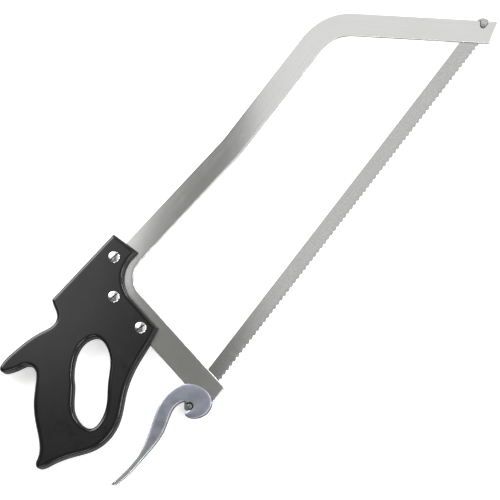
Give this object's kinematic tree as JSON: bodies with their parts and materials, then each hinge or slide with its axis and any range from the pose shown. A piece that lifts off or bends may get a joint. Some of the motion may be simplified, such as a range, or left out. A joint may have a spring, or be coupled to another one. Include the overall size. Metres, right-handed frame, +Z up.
{
  "type": "bone saw",
  "caption": "Butcher's bow saw: bent flat-bar frame, moulded hand-hole handle on saw screws, pinned toothed blade in a nose notch, and a hooked cam lever that tightens it.",
  "frame": {"origin": "bottom centre of the saw's box, the saw lying on the back face of its handle", "axes": "+X along the blade from the handle to the nose, +Y in the saw's plane from the teeth to the spine, +Z up through its thickness"},
  "size_m": [0.7356, 0.2238, 0.0255],
  "materials": {
    "frame_steel": "satin brushed stainless steel",
    "blade_steel": "ground blade steel",
    "lever_casting": "satin blue-grey casting with polished edges",
    "handle_plastic": "moulded, semi-gloss black",
    "screw_plating": "plated and polished",
    "pin_steel": "dark hardened steel"
  },
  "bodies": {
    "saw_frame": {"frame": "frame_steel", "handle_front_scale": "handle_plastic", "handle_back_scale": "handle_plastic", "upper_handle_screw": "screw_plating", "middle_handle_screw": "screw_plating", "lower_handle_screw": "screw_plating", "upper_sleeve_nut": "screw_plating", "middle_sleeve_nut": "screw_plating", "lower_sleeve_nut": "screw_plating"},
    "blade_set": {"blade": "blade_steel", "front_blade_pin": "pin_steel", "rear_blade_pin": "pin_steel"},
    "lever": {"cam_lever": "lever_casting"}
  },
  "joints": [
    {"name": "blade_slack", "type": "slide", "parent": "saw_frame", "child": "blade_set", "axis": [1, 0, 0], "range_m": [0, 0.006]},
    {"name": "lever_swing", "type": "hinge", "parent": "blade_set", "child": "lever", "pos_m": [-0.20517, -0.091, 0.012], "axis": [0, 0, 1], "range_deg": [0, 100]}
  ],
  "couplings": [
    {"joint": "blade_slack", "follows": "lever_swing", "m_per_rad": 0.0034377}
  ]
}
